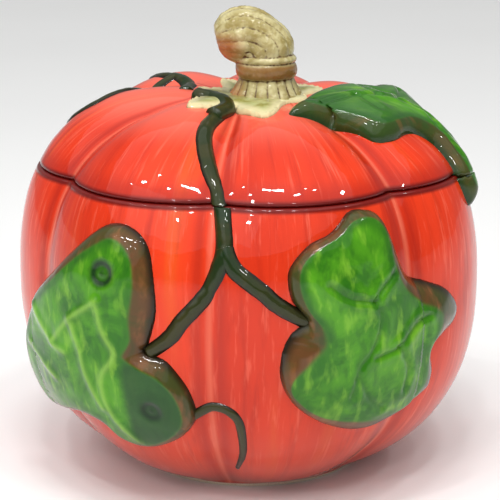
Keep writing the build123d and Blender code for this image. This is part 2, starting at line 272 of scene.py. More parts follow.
def mesh_object(name, vertices, faces, material, body, nodes, attributes=None):
    """A smooth-shaded mesh that rides on a body and stands for CAD nodes."""
    mesh = bpy.data.meshes.new(name)
    mesh.from_pydata([tuple(v) for v in vertices], [], [tuple(f) for f in faces])
    for key, values in (attributes or {}).items():
        values = np.asarray(values, dtype=np.float32)
        kind = "FLOAT_VECTOR" if values.ndim == 2 else "FLOAT"
        layer = mesh.attributes.new(key, kind, "POINT")
        layer.data.foreach_set("vector" if kind == "FLOAT_VECTOR" else "value", values.ravel())
    mesh.polygons.foreach_set("use_smooth", np.ones(len(mesh.polygons), dtype=bool))
    mesh.update()
    piece = add_object(name, mesh)
    materials = material if isinstance(material, (list, tuple)) else [material]
    for entry in materials:
        mesh.materials.append(entry)
    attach(piece, body)
    if nodes:
        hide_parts(*nodes)
    return piece


# %% [markdown]
# ## The painted glazes
#
# The paint is brushed on in long strokes that follow the ribs, so the pumpkin's noise is stretched along
# the meridians. The attribute `brush` holds a position that is short along a rib and long across it, and
# `rib` runs from 0 in a groove to 1 on a crest.

# %% Materials


def paint_pumpkin(add, shader):
    # orange-red underglaze: a salmon wash, darker red strokes along the ribs, orange where it is thin
    brush = add("stored_place", attribute_name="brush")
    rib = add("stored_value", attribute_name="rib")
    height = add("stored_value", attribute_name="height")
    broad = add("noise", brush, 26.0, 3.0, 0.55, 0.6)
    strokes = add("noise", brush, 120.0, 4.0, 0.62, 0.4)
    fine = add("noise", brush, 420.0, 3.0, 0.6)
    body = add("mix", add("ease", broad, 0.34, 0.64), "#c42c0c", "#da3814")
    body = add("mix", add("ease", strokes, 0.47, 0.70, 0.0, 0.75), body, "#b02208")
    thin = add("noise", brush, 58.0, 3.0, 0.5, 0.3)
    body = add("mix", add("ease", thin, 0.56, 0.74, 0.0, 0.45), body, "#d9591a")
    body = add("mix", add("ease", fine, 0.52, 0.72, 0.0, 0.35), body, "#f0745a")
    # painted highlight: the lid's upper part is mixed towards pale salmon, a painted sheen of the bright sky
    # on its upward faces
    lid = add("mix", add("ease", height, SEAM + 19.3 * MM, SEAM + 36.3 * MM, 0.0, 0.75), body, "#f0705c")
    # painted shade: the lid's red darkens towards its edge above the seam
    rim = add("ease", height, SEAM + 11.8 * MM, SEAM + 2.3 * MM, 0.0, 0.8)
    above = add("ease", height, SEAM - 0.5 * MM, SEAM + 0.1 * MM)
    lid = add("mix", add("times", rim, above), lid, "#a5200f")
    # painted shade: the red darkens towards the bottom, where less light falls
    lower = add("ease", height, 60 * MM, 4 * MM, 0.0, 0.55)
    lid = add("mix", lower, lid, "#a3402c")
    valley = add("ease", rib, 0.085, 0.0, 0.0, 0.38)
    lid = add("mix", valley, lid, "#ef8467")
    # painted shade: darker red on the sides of each groove, so that the grooves look deeper
    shoulder = add("times", add("ease", rib, 0.06, 0.16), add("ease", rib, 0.34, 0.16))
    lid = add("mix", add("times", shoulder, 0.6), lid, "#a01c0a")
    # painted shade: a near-black line along the seam, where the lid meets the jar
    under_seam = add("ease", height, SEAM - 2.9 * MM, SEAM - 1.2 * MM)
    seam = add("times", under_seam, add("ease", height, SEAM + 3.5 * MM, SEAM + 1.6 * MM))
    lid = add("mix", add("times", seam, 0.9), lid, "#5a0a0a")
    glaze(add, shader, lid, strokes, 0.12)


def paint_inside(add, shader):
    # clear glaze over the cream body, in soft cloudy patches with dark specks
    position = add("object_position")
    cloud = add("noise", position, 22.0, 4.0)
    speck = add("noise", position, 900.0, 1.0)
    color = add("mix", cloud, "#efe8d6", "#e4dcc4")
    color = add("mix", add("ease", speck, 0.70, 0.76), color, "#9b8a6a")
    glaze(add, shader, color)


def paint_bare(add, shader):
    # unglazed biscuit where the jar stands in the kiln and where the lid rests
    position = add("object_position")
    grain = add("noise", position, 1400.0, 3.0)
    cloud = add("noise", position, 60.0, 3.0)
    color = add("mix", cloud, "#e6dccb", "#d6c8b0")
    color = add("mix", add("ease", grain, 0.55, 0.75), color, "#bfae93")
    glaze(add, shader, color, grain, 0.4, 0.0, 0.85)


def paint_leaf(add, shader):
    # wet brushed greens on the puffed top, brown and olive down the sides, near-black painted shade at the
    # relief's foot
    position = add("stored_place", attribute_name="flat")
    names = ("side", "flank_shade", "vein", "ridge", "inner", "painted_shade", "spot")
    values = [add("stored_value", attribute_name=name) for name in names]
    side, flank_shade, vein, ridge, inner, painted_shade, spot = values
    cloud = add("noise", position, 42.0, 4.0, 0.6, 0.8)
    streak = add("noise", add("stretch", position, (1.5, 0.6, 1.0)), 105.0, 3.0, 0.55, 0.25)
    green = add("mix", add("ease", cloud, 0.36, 0.64), "#266509", "#4c9014")
    green = add("mix", add("ease", streak, 0.50, 0.70, 0.0, 0.55), green, "#7fb52f")
    green = add("mix", add("ease", streak, 0.47, 0.32, 0.0, 0.5), green, "#1f5710")
    green = add("mix", add("times", vein, 0.5), green, "#235f10")
    green = add("mix", add("times", ridge, 0.5), green, "#9ac653")
    shade = add("ease", inner, 0.42, 0.0, 0.0, 0.8)
    patchy = add("times", shade, add("ease", cloud, 0.38, 0.58))
    green = add("mix", patchy, green, "#174d14")
    # painted shade where the leaf folds or droops
    green = add("mix", painted_shade, green, add("mix", cloud, "#10340f", "#2d5a26"))
    brown = add("mix", add("ease", cloud, 0.35, 0.62), "#5c3a1c", "#3a3f18")
    brown = add("mix", add("ease", streak, 0.50, 0.70, 0.0, 0.8), brown, "#7c4f2b")
    # painted shade: near-black where the relief meets the wall
    brown = add("mix", add("ease", side, 0.62, 0.97), brown, "#17140a")
    brown = add("mix", add("ease", side, 0.28, 0.05, 0.0, 0.9), brown, "#3a6a20")
    # painted shade: the sides go dark green by the relief's side-shade amount
    brown = add("mix", flank_shade, brown, add("mix", cloud, "#0d2e0c", "#2c5a22"))
    color = add("mix", add("ease", side, 0.02, 0.22), green, brown)
    color = add("mix", spot, color, "#0b2a0c")
    glaze(add, shader, color, streak, 0.35)


def paint_vine(add, shader):
    # dark green laid over brown, thinner and browner along the middle, darkest as painted shade where the rod
    # meets the wall
    position = add("object_position")
    rise = add("stored_value", attribute_name="rise")
    run = add("stored_value", attribute_name="run")
    cloud = add("noise", position, 70.0, 3.0, 0.6, 0.5)
    color = add("mix", add("ease", cloud, 0.40, 0.62), "#12290a", "#2c2f0d")
    color = add("mix", run, color, add("mix", cloud, "#262a0d", "#3b3716"))
    # painted shade: darkest at the rod's foot
    color = add("mix", add("ease", rise, 0.75, 0.15), color, "#160f06")
    glaze(add, shader, color, cloud, 0.3)


def paint_calyx(add, shader):
    # pale green middle, thick cream edges, a brown line where the glaze breaks
    position = add("stored_place", attribute_name="flat")
    side = add("stored_value", attribute_name="side")
    inner = add("stored_value", attribute_name="inner")
    cloud = add("noise", position, 90.0, 4.0, 0.6, 0.6)
    color = add("mix", add("ease", cloud, 0.38, 0.62), "#8b8845", "#aeb27a")
    color = add("mix", add("ease", inner, 0.55, 0.12), color, "#cdc597")
    color = add("mix", add("ease", side, 0.05, 0.5), color, "#d6c495")
    color = add("mix", add("ease", side, 0.7, 1.0), color, "#8a5a34")
    glaze(add, shader, color, cloud, 0.3)


def paint_stem(add, shader):
    # khaki, darker brown in every crease, and a warm fired brown on the cut end
    position = add("object_position")
    hollow = add("stored_value", attribute_name="hollow")
    cut = add("stored_value", attribute_name="cut")
    band = add("stored_value", attribute_name="band")
    cloud = add("noise", position, 110.0, 4.0, 0.6, 0.5)
    fine = add("noise", position, 420.0, 3.0)
    color = add("mix", add("ease", cloud, 0.36, 0.64), "#94854f", "#bdb384")
    color = add("mix", add("ease", fine, 0.55, 0.72, 0.0, 0.5), color, "#d9d0a6")
    color = add("mix", band, color, add("mix", cloud, "#74491f", "#977848"))
    color = add("mix", add("ease", hollow, 0.08, 0.75), color, "#4c2d12")
    fired = add("mix", cloud, "#94481f", "#b8713f")
    color = add("mix", add("times", cut, 0.85), color, fired)
    glaze(add, shader, color, fine, 0.3)


pumpkin_glaze = new_material("orange_red_brushed_glaze", "orange_glaze", paint_pumpkin)
inside_glaze = new_material("cream_liner_glaze", "orange_glaze", paint_inside)
bare_clay = new_material("unglazed_biscuit", "orange_glaze", paint_bare)
leaf_glaze = new_material("leaf_green_brushed_glaze", "leaf_glaze", paint_leaf)
vine_glaze = new_material("olive_vine_glaze", "vine_glaze", paint_vine)
calyx_glaze = new_material("cream_calyx_glaze", "calyx_glaze", paint_calyx)
stem_glaze = new_material("khaki_stem_glaze", "stem_glaze", paint_stem)
print("materials", len(bpy.data.materials))

# %% [markdown]
# ## Jar and lid
#
# Both are turned like a pot: a stack of closed rows from the middle of the underside, up the outside,
# over the rim and down the inside. The rows near the seam follow its level exactly, rib by rib, so the
# two rounded rims leave a fine groove, which a painted shade darkens into the fine dark line of a real lid.

# %% Jar and lid meshes


def level_row(row, height, inset=0.0):
    """A row moved in by inset and set to one height."""
    moved = row.copy()
    radius = np.hypot(row[:, 0], row[:, 1])
    moved[:, :2] *= ((radius - inset) / radius)[:, None]
    moved[:, 2] = height
    return moved


def circle_rows(*places):
    """A round row for each (radius, height)."""
    x, y = np.sin(np.radians(longitudes)), -np.cos(np.radians(longitudes))
    return [np.stack([radius * x, radius * y, np.full(AROUND, height)], axis=1) for radius, height in places]


def skin_rows(low, high, count, proud=0.0):
    """Rows of the skin between two latitudes, each a number or one value for every longitude."""
    low = np.broadcast_to(low, AROUND)
    high = np.broadcast_to(high, AROUND)
    return [skin(longitudes, low + (high - low) * share, proud) for share in np.linspace(0, 1, count)]


def hand_finish(points, amount=0.35 * MM):
    """The slight unevenness of a sponged cast, as a move along the radius."""
    moved = points.copy()
    for index, point in enumerate(points):
        wave = noise.noise(Vector(point) * 28) + 0.4 * noise.noise(Vector(point) * 75)
        moved[index] += amount * wave * point / np.linalg.norm(point - (0, 0, BELLY_HEIGHT))
    return moved


def stack(name, bands, body, node):
    """Joins bands of rows into one closed mesh. A band is (zone, rows): 0 painted, 1 liner glaze, 2 bare."""
    rows = []
    zones = []
    for zone, band in bands:
        for row in band:
            rows.append(row)
            zones.append(zone)
    vertices = np.concatenate(rows)
    faces = quads_between(len(rows), AROUND)
    start = np.arange(AROUND)
    after = (start + 1) % AROUND
    bottom = len(vertices)
    middles = np.array([rows[0].mean(axis=0), rows[-1].mean(axis=0)])
    vertices = np.concatenate([vertices, middles])
    last = (len(rows) - 1) * AROUND
    faces += [(bottom, int(b), int(a)) for a, b in zip(start, after)]
    faces += [(bottom + 1, int(last + a), int(last + b)) for a, b in zip(start, after)]
    turn = np.degrees(np.arctan2(vertices[:, 0], -vertices[:, 1]))
    around = np.radians(turn)
    brush = np.stack([np.sin(around) * 0.1, np.cos(around) * 0.1, vertices[:, 2] * 0.11], axis=1)
    rib = np.abs(np.sin(RIB_COUNT * np.radians(turn - FIRST_GROOVE) / 2))
    attributes = {"brush": brush, "rib": rib, "height": vertices[:, 2]}
    materials = [pumpkin_glaze, inside_glaze, bare_clay]
    piece = mesh_object(name, vertices, faces, materials, body, [node], attributes)
    index = np.repeat(np.array(zones[1:]), AROUND)
    index = np.concatenate([index, np.full(AROUND, zones[0]), np.full(AROUND, zones[-1])]).astype(np.int32)
    piece.data.polygons.foreach_set("material_index", index)
    return piece


def rounding(row, height, inset, rise, steps=5):
    """Quarter-round rows from row, going in by inset and up by rise."""
    turns = np.linspace(0, math.pi / 2, steps + 1)[1:]
    return [level_row(row, height + rise * math.sin(t), inset * (1 - math.cos(t))) for t in turns]


PAINTED_RIM = 4.0 * MM  # the colour, with its painted shade along the seam, runs this far in under the lid, so that the seam looks dark
BARE_FROM = PAINTED_RIM + 0.6 * MM
seam_latitude = latitude_at(SEAM - EDGE, longitudes)
wall_rows = [hand_finish(row) for row in skin_rows(FOOT_LATITUDE, seam_latitude, 112)]
wall_top = level_row(wall_rows[-1], SEAM - EDGE)
ring_out = FOOT_RADIUS - 2 * MM
ring_in = ring_out - FOOT_WIDTH
underside = circle_rows((12 * MM, FOOT_HEIGHT), (30 * MM, FOOT_HEIGHT), (ring_in - 1 * MM, FOOT_HEIGHT))
foot_ring = circle_rows(
    (ring_in, FOOT_HEIGHT - 0.5 * MM), (ring_in + 0.2 * MM, 0.7 * MM), (ring_in + 1 * MM, 0.0),
    (ring_out - 1 * MM, 0.0), (ring_out - 0.1 * MM, 0.9 * MM), (ring_out, FOOT_HEIGHT - 0.4 * MM),
)
wall = wall_rows[:-1] + [wall_top] + rounding(wall_top, SEAM - EDGE, EDGE, EDGE)
wall += [level_row(wall_top, SEAM, EDGE + PAINTED_RIM)]
rim = [level_row(wall_top, SEAM, EDGE + BARE_FROM)] + circle_rows((MOUTH_RADIUS + 0.8 * MM, SEAM))
mouth = circle_rows(
    (MOUTH_RADIUS, SEAM - 0.8 * MM), (MOUTH_RADIUS, SEAM - GALLERY + 1 * MM),
    (MOUTH_RADIUS + 1 * MM, SEAM - GALLERY),
)
inner_top = latitude_at(SEAM - GALLERY, longitudes, -WALL)
inside = skin_rows(inner_top, FOOT_LATITUDE, 40, -WALL)
inside[0] = level_row(inside[0], SEAM - GALLERY, 1.5 * MM)
inside += circle_rows((40 * MM, 8 * MM), (15 * MM, 8 * MM))
jar_bands = [(1, underside), (2, foot_ring), (0, wall), (2, rim), (1, mouth + inside)]
jar = stack("pumpkin_jar", jar_bands, "jar", "jar_body")

lid_latitude = latitude_at(SEAM + EDGE, longitudes)
dome_rows = [hand_finish(row) for row in skin_rows(lid_latitude, 88.5, 84)]
dome_low = level_row(dome_rows[0], SEAM + EDGE)
dome = rounding(dome_low, SEAM + EDGE, EDGE, -EDGE)[::-1] + [dome_low] + dome_rows[1:]
hollow = skin_rows(latitude_at(SEAM + LID_RIM, longitudes, -WALL), 86.0, 30, -WALL)
hollow[0] = level_row(hollow[0], SEAM + LID_RIM, 1.5 * MM)
ring_inside = LOCATING_RADIUS - LOCATING_WALL
ring_low = SEAM - LOCATING_DEPTH
flange = circle_rows(
    (ring_inside + 1 * MM, SEAM + LID_RIM), (ring_inside, SEAM + LID_RIM - 1 * MM),
    (ring_inside, ring_low + 1.5 * MM), (ring_inside + 1.2 * MM, ring_low),
    (LOCATING_RADIUS - 1.2 * MM, ring_low), (LOCATING_RADIUS, ring_low + 1.5 * MM),
    (LOCATING_RADIUS, SEAM - 1 * MM),
)
seat = circle_rows((LOCATING_RADIUS + 1 * MM, SEAM)) + [level_row(dome_low, SEAM, EDGE + BARE_FROM)]
painted_edge = [level_row(dome_low, SEAM, EDGE + PAINTED_RIM)]
lid_bands = [(1, hollow[::-1] + flange), (2, seat), (0, painted_edge + dome)]
lid = stack("pumpkin_lid", lid_bands, "lid", "lid_shell")
print("jar", len(jar.data.polygons), "lid", len(lid.data.polygons), "faces")

# %% [markdown]
# ## Pressing relief onto the skin
#
# A leaf is drawn flat, as two closed curves: the foot of its relief and the edge of its puffed top. Both
# are triangulated with a fine grid between them, every point is dropped straight onto the ribbed skin,
# and then lifted along the skin's normal by a height built up from the distance to the curves and to the
# veins.

# %% The skin as a target, and the relief builder
GRID = 1.05 * MM


def grid_tree(ribbed):
    """A search tree of the whole skin."""
    turns = np.arange(361) - 180.0
    heights = np.linspace(-60, 88, 149)
    points = np.stack([skin(turns, latitude, 0.0, ribbed) for latitude in heights])
    rows, columns = points.shape[:2]
    faces = []
    for row in range(rows - 1):
        for column in range(columns - 1):
            corner = row * columns + column
            faces.append((corner, corner + 1, corner + columns + 1, corner + columns))
    return BVHTree.FromPolygons([tuple(p) for p in points.reshape(-1, 3)], faces)


ribbed_tree = grid_tree(1.0)
filled_tree = grid_tree(0.35)


def closed_curve(points, per_span=8):
    """A closed Catmull-Rom curve through points given in millimetres."""
    points = np.array(points, dtype=float) * MM
    before, after, beyond = np.roll(points, 1, 0), np.roll(points, -1, 0), np.roll(points, -2, 0)
    shares = (np.arange(per_span) / per_span)[:, None, None]
    curve = points + 0.5 * shares * (after - before)
    curve = curve + 0.5 * shares**2 * (2 * before - 5 * points + 4 * after - beyond)
    curve = curve + 0.5 * shares**3 * (3 * points - before - 3 * after + beyond)
    return curve.transpose(1, 0, 2).reshape(-1, 2)


def open_curve(points, per_span=8):
    """An open Catmull-Rom curve through points given in millimetres."""
    ends = [2 * np.array(points[0]) - points[1], *points, 2 * np.array(points[-1]) - points[-2]]
    curve = closed_curve(ends, per_span)
    return curve[per_span : -2 * per_span + 1]


def distance(line, points, closed=False):
    """Each point's distance to a polyline."""
    start = line if closed else line[:-1]
    end = np.roll(line, -1, 0) if closed else line[1:]
    best = np.full(len(points), 1.0)
    for a, b in zip(start, end):
        along = b - a
        share = np.clip(((points - a) @ along) / max(along @ along, 1e-18), 0, 1)
        best = np.minimum(best, np.linalg.norm(points - a - share[:, None] * along, axis=1))
    return best


def within(loop, points):
    """True for points inside a closed curve."""
    result = np.zeros(len(points), dtype=bool)
    for (x1, y1), (x2, y2) in zip(loop, np.roll(loop, -1, 0)):
        if y1 != y2:
            crosses = (y1 > points[:, 1]) != (y2 > points[:, 1])
            result ^= crosses & (points[:, 0] < (x2 - x1) * (points[:, 1] - y1) / (y2 - y1) + x1)
    return result


def relief_grid(outer, top):
    """Flat points and triangles that fill outer and have edges along top."""
    low, high = outer.min(axis=0), outer.max(axis=0)
    xs, ys = np.meshgrid(np.arange(low[0], high[0], GRID), np.arange(low[1], high[1], GRID * 0.87))
    xs[::2] += GRID / 2
    fill = np.stack([xs.ravel(), ys.ravel()], axis=1)
    fill = fill[within(outer, fill)]
    clear = np.minimum(distance(outer, fill, True), distance(top, fill, True)) > GRID * 0.45
    points = np.concatenate([outer, top, fill[clear]])
    edges = [(i, (i + 1) % len(outer)) for i in range(len(outer))]
    edges += [(len(outer) + i, len(outer) + (i + 1) % len(top)) for i in range(len(top))]
    flat, _, triangles, *_ = delaunay_2d_cdt([Vector(p) for p in points], edges, [], 0, 1e-7)
    flat = np.array([tuple(p) for p in flat])
    triangles = np.array([t for t in triangles if len(t) == 3])
    return flat, triangles[within(outer, flat[triangles].mean(axis=1))]


def leaf_axes(longitude, height, radius, tilt):
    """The drawing plane's origin, right, up and outward directions."""
    a, t = math.radians(longitude), math.radians(tilt)
    origin = Vector((radius * math.sin(a), -radius * math.cos(a), height))
    across = Vector((math.cos(a), math.sin(a), 0))
    outward = Vector((math.sin(a) * math.cos(t), -math.cos(a) * math.cos(t), math.sin(t)))
    return origin, across, outward.cross(across), outward


VEIN_DEPTH, VEIN_BANK = 0.9 * MM, 0.45 * MM
RIDGE_HEIGHT = 0.8 * MM
SPOT_DEPTH, SPOT_MIDDLE = 1.6 * MM, 0.7 * MM
EDGE_BLEND = 9 * MM  # the top's paint and cup fade over this distance from its edge


def drawn_relief(flat, outer, top, height, veins, ridges, spots, cup):
    """Each flat point's lift and climb, and what the paint needs to know about it."""
    to_edge = distance(outer, flat, True)
    to_top = distance(top, flat, True)
    on_top = within(top, flat) | (to_top < 1e-6)
    climb = np.where(on_top, 1.0, to_edge / np.maximum(to_edge + to_top, 1e-9))
    inner = np.where(on_top, to_top, 0.0)
    lift = height * np.sin(climb * math.pi / 2) ** 0.85
    crown = 0.16 * height * (1 - np.exp(-inner / (7 * MM)))
    lift += np.where(on_top, crown - cup * np.exp(-inner / EDGE_BLEND), 0)
    lift -= np.where(to_edge < 1e-6, 0.7 * MM, 0.0)
    vein, ridge, spot = np.zeros((3, len(flat)))
    for line in veins:
        gap = distance(open_curve(line), flat)
        vein = np.maximum(vein, np.exp(-((gap / (1.1 * MM)) ** 2)))
        banks = VEIN_BANK * np.exp(-(((gap - 3 * MM) / (2 * MM)) ** 2))
        lift += on_top * (banks - VEIN_DEPTH * np.exp(-((gap / MM) ** 2)))
    for line in ridges:
        gap = distance(open_curve(line), flat)
        ridge = np.maximum(ridge, np.exp(-((gap / (1.2 * MM)) ** 2)))
        lift += on_top * RIDGE_HEIGHT * np.exp(-((gap / (2.2 * MM)) ** 2))
    for x, y, radius in spots:
        gap = np.linalg.norm(flat - np.array([x, y]) * MM, axis=1) / (radius * MM)
        spot = np.maximum(spot, np.exp(-((gap - 0.85) ** 2) / 0.12) + 0.8 * np.exp(-(gap**2) / 0.15))
        lift -= SPOT_DEPTH * np.exp(-(gap**4)) - SPOT_MIDDLE * np.exp(-(gap**2) / 0.12)
    marks = {"side": 1 - climb, "inner": np.minimum(inner / EDGE_BLEND, 1), "spot": np.clip(spot, 0, 1)}
    marks.update({"vein": vein * on_top, "ridge": ridge * on_top, "flat": np.c_[flat, np.zeros(len(flat))]})
    return lift, climb, marks


def laid_on_skin(flat, axes, lift, climb):
    """The relief's points and the points of its underside, and which of them met the skin."""
    origin, across, up, outward = axes
    upper, under, met = [], [], []
    for (x, y), rise, share in zip(flat, lift, climb):
        start = origin + across * x + up * y + outward * 0.12
        ribbed, normal, *_ = ribbed_tree.ray_cast(start, -outward)
        filled, *_ = filled_tree.ray_cast(start, -outward)
        met.append(ribbed is not None and filled is not None)
        if not met[-1]:
            upper.append(origin)
            under.append(origin)
            continue
        normal = normal if normal.dot(outward) > 0 else -normal
        crease = noise.noise(Vector((x, y, 0.3)) * 95) * 0.35
        crease += noise.noise(Vector((x, y, 0.7)) * 240) * 0.14
        upper.append(ribbed.lerp(filled, 0.75 * share) + normal * (rise + share * crease * MM))
        under.append(ribbed - normal * 1.2 * MM)
    return np.array([tuple(v) for v in upper]), np.array([tuple(v) for v in under]), np.array(met)


def face_outwards(piece):
    """Turns a closed shell's faces to point away from the jar."""
    weld = bmesh.new()
    weld.from_mesh(piece.data)
    bmesh.ops.recalc_face_normals(weld, faces=weld.faces)
    outwards = sum((face.normal.dot(face.calc_center_median()) for face in weld.faces), 0.0)
    if outwards < 0:
        bmesh.ops.reverse_faces(weld, faces=weld.faces)
    weld.to_mesh(piece.data)
    weld.free()


def press(
    name, body, node, axes, outline, top, height, material,
    veins=(), ridges=(), spots=(), painted_shade=None, keep=None, cup=0.0, dark_sides=0.0,
):
    """Presses a relief onto the skin. veins sink into it, ridges stand up, spots are thumb-tip dimples."""
    outer, inner_loop = closed_curve(outline), closed_curve(top)
    flat, triangles = relief_grid(outer, inner_loop)
    lift, climb, marks = drawn_relief(flat, outer, inner_loop, height, veins, ridges, spots, cup)
    # painted shade of folds and drooping tips, drawn in flat millimetres
    marks["painted_shade"] = painted_shade(flat / MM) if painted_shade else np.zeros(len(flat))
    # painted shade of the sides, the same over the whole relief
    marks["flank_shade"] = np.full(len(flat), dark_sides)
    upper, under, kept = laid_on_skin(flat, axes, lift, climb)
    if keep is not None:
        kept &= keep(upper)
    triangles = triangles[kept[triangles].all(axis=1)]
    used, triangles = np.unique(triangles, return_inverse=True)
    above = triangles.reshape(-1, 3)
    below = above[:, ::-1] + len(used)
    sides = np.concatenate([above[:, [0, 1]], above[:, [1, 2]], above[:, [2, 0]]])
    met = {(int(a), int(b)) for a, b in sides}
    rim = [(b, a, a + len(used), b + len(used)) for a, b in sorted(met) if (b, a) not in met]
    faces = [tuple(int(i) for i in face) for face in np.concatenate([above, below])] + rim
    shell = np.concatenate([upper[used], under[used]])
    marks = {key: np.concatenate([values[used], values[used]]) for key, values in marks.items()}
    face_outwards(mesh_object(name, shell, faces, material, body, [node], marks))


print("relief grid", GRID)

# %% [markdown]
# ## The leaves
#
# The front right leaf is the fullest: five blunt lobes round a puffed green top. The front left leaf
# is painted much darker at its lower right, a painted shade that stands for a fold, and has two thumb-tip
# dimples. The shoulder leaf hangs over the lid's rim and its tip carries on below the seam, on the jar.

# %% Leaves
LEAF_RELIEF = 6.2 * MM
RIGHT_OUTLINE = (
    (-2, 50), (7, 47), (13, 36), (21, 19), (34, 13), (47, 7), (56, -3), (53, -11), (41, -16), (36, -18),
    (40, -29), (39, -40), (26, -45), (15, -50), (4, -53), (-8, -51), (-23, -44), (-35, -34), (-41, -22),
    (-41, -10), (-38, -2), (-34, 2), (-31, 5), (-37, 14), (-38, 25), (-34, 32), (-27, 38), (-19, 41),
    (-13, 45), (-8, 49),
)
RIGHT_TOP = (
    (-9, 44), (0, 44), (5, 38), (7, 26), (12, 14), (22, 5), (34, -1), (36, -9), (31, -18), (30, -31),
    (25, -38), (14, -42), (-3, -42), (-22, -38), (-34, -29), (-36, -22), (-29, -15), (-22, -7), (-24, 2),
    (-30, 10), (-33, 21), (-31, 30), (-22, 36), (-14, 40),
)
RIGHT_VEINS = (
    ((-11, -30), (-9, -18), (-2, -8), (1, 4), (-2, 12), (8, 22)),
    ((-2, -14), (10, -11), (20, -3), (30, -1)),
    ((-2, 11), (-14, 14), (-22, 20)),
    ((-9, -22), (-3, -32), (4, -38)),
    ((10, -11), (16, -22), (15, -32)),
)
LEFT_OUTLINE = (
    (2, 58), (10, 58), (18, 54), (23, 47), (26, 34), (27, 21), (24, 8), (22, 3), (30, 0), (35, -6),
    (39, -15), (40, -26), (37, -33), (30, -40), (20, -45), (10, -47), (2, -44), (-6, -38), (-18, -36),
    (-31, -39), (-44, -42), (-54, -36), (-59, -25), (-61, -10), (-56, 6), (-48, 19), (-30, 34), (-17, 45),
    (-6, 54),
)
LEFT_TOP = (
    (0, 47), (8, 50), (15, 44), (17, 33), (15, 20), (16, 9), (12, 1), (20, -4), (29, -9), (34, -17),
    (34, -27), (27, -35), (16, -40), (5, -38), (-3, -31), (-16, -29), (-32, -33), (-46, -36), (-54, -26),
    (-56, -12), (-50, 3), (-41, 15), (-26, 27), (-13, 38),
)
LEFT_RIDGES = (
    ((-46, 16), (-36, 8), (-25, 0), (-17, -2)),
    ((-25, 1), (-13, 14), (-2, 22), (2, 25)),
    ((-13, 14), (-8, 2), (-5, -10), (1, -24)),
    ((2, 24), (5, 12), (10, 2), (3, -10), (5, -26), (14, -38)),
    ((-50, -6), (-38, -10), (-26, -16)),
)
LEFT_SPOTS = ((4, 37, 5.0), (24, -22, 4.0))
SHOULDER_OUTLINE = (
    (-46, 52), (-44, 42), (-43, 33), (-46, 24), (-50, 14), (-45, 7), (-36, 3), (-30, -2), (-28, -11),
    (-32, -22), (-36, -31), (-33, -42), (-25, -43), (-18, -36), (-10, -25), (4, -26), (14, -24),
    (19, -14), (20, -5), (31, -1), (36, 8), (30, 18), (18, 24), (12, 34), (-6, 40), (-18, 46), (-34, 51),
)
SHOULDER_TOP = (
    (-40, 46), (-39, 34), (-42, 22), (-43, 15), (-36, 10), (-27, 5), (-22, -3), (-21, -12), (-26, -22),
    (-29, -32), (-26, -37), (-18, -28), (-9, -18), (4, -19), (11, -16), (13, -4), (26, 3), (29, 9),
    (20, 14), (12, 18), (6, 28), (-10, 34), (-22, 40), (-33, 45),
)
SHOULDER_VEINS = (
    ((-38, 42), (-26, 28), (-16, 14), (-12, 0), (-12, -14)),
    ((-26, 28), (-34, 18)),
    ((-16, 14), (0, 8), (12, 8), (24, 8)),
    ((-20, 20), (-8, 26), (2, 26)),
    ((-12, -2), (-22, -12), (-26, -24)),
)


def folded_corner(points):
    """Painted shade on the left leaf's lower right lobe, standing for a fold."""
    away = np.hypot(points[:, 0] - 25, points[:, 1] + 20)
    return np.clip((26 - away) / 7, 0, 1) * np.clip((points[:, 0] - 11) / 4, 0, 0.95)


def undersides(points):
    """Shade of the shoulder leaf's tips."""
    return np.clip((-24 - points[:, 0]) / 10, 0, 0.7) * np.clip((points[:, 1] - 2) / 8, 0, 1)


right = {"outline": RIGHT_OUTLINE, "top": RIGHT_TOP, "veins": RIGHT_VEINS}
left = {"outline": LEFT_OUTLINE, "top": LEFT_TOP, "ridges": LEFT_RIDGES, "painted_shade": folded_corner}
left["spots"] = LEFT_SPOTS
shoulder = {"outline": SHOULDER_OUTLINE, "top": SHOULDER_TOP, "veins": SHOULDER_VEINS, "painted_shade": undersides}
# painted shade on the shoulder leaf's sides
shoulder["dark_sides"] = 0.5
over = {**shoulder, "keep": lambda place: place[:, 2] > SEAM + 0.2 * MM}
under = {**shoulder, "keep": lambda place: place[:, 2] < SEAM - 0.2 * MM}
LEAVES = (  # name, body, node, longitude, height and distance of the drawing plane, its tilt, shape
    ("leaf_front_right_relief", "jar", "leaf_front_right", (28.6, 0.0946, 0.102, 1.4), right),
    ("leaf_front_left_relief", "jar", "leaf_front_left", (-35.8, 0.0798, 0.099, -1.8), left),
    ("leaf_back_relief", "jar", "leaf_back", (176, 0.086, 0.102, 0), right),
    ("leaf_shoulder_relief", "lid", "leaf_shoulder", (90, 0.165, 0.075, 50), over),
    ("leaf_tip_relief", "jar", "leaf_shoulder_tip", (90, 0.165, 0.075, 50), under),
)
for name, body, node, place, shape in LEAVES:
    press(name, body, node, leaf_axes(*place), height=LEAF_RELIEF, material=leaf_glaze, **shape)

# %% [markdown]
# ## The calyx
#
# The same relief builder, seen from straight above: a thin star with thick turned-up edges, pressed onto
# the crown under the stem.

# %% Calyx
CALYX_OUTLINE = (
    (-29, -40), (-18, -39), (-9, -34), (-3, -41), (6, -52), (12, -46), (17, -26), (27, -18), (27, -8),
    (36, 6), (24, 12), (14, 26), (2, 15), (-14, 22), (-14, 6), (-26, -2), (-22, -14), (-27, -28),
)
calyx_top = [(0.93 * (x - 3) + 3, 0.93 * (y + 12) - 12) for x, y in CALYX_OUTLINE]
calyx_axes = (Vector((0, 0, CROWN_HEIGHT)), Vector((1, 0, 0)), Vector((0, 1, 0)), Vector((0, 0, 1)))
press("calyx_star", "lid", "calyx", calyx_axes, CALYX_OUTLINE, calyx_top, 2.6 * MM, calyx_glaze, cup=1.1 * MM)
print("calyx tips", len(CALYX_OUTLINE))

# %% [markdown]
# ## Vines and the tendril, with Geometry Nodes
#
# A vine is a curve laid just under the skin. One node group turns any such curve into a rod that tapers
# towards its tip and is a little knobbly along its length. The part of the rod that stands above the skin
# is what shows. The rods are baked to meshes and cut where the seam passes.

# %% Vine node group
RING_SPACING = 0.9 * MM


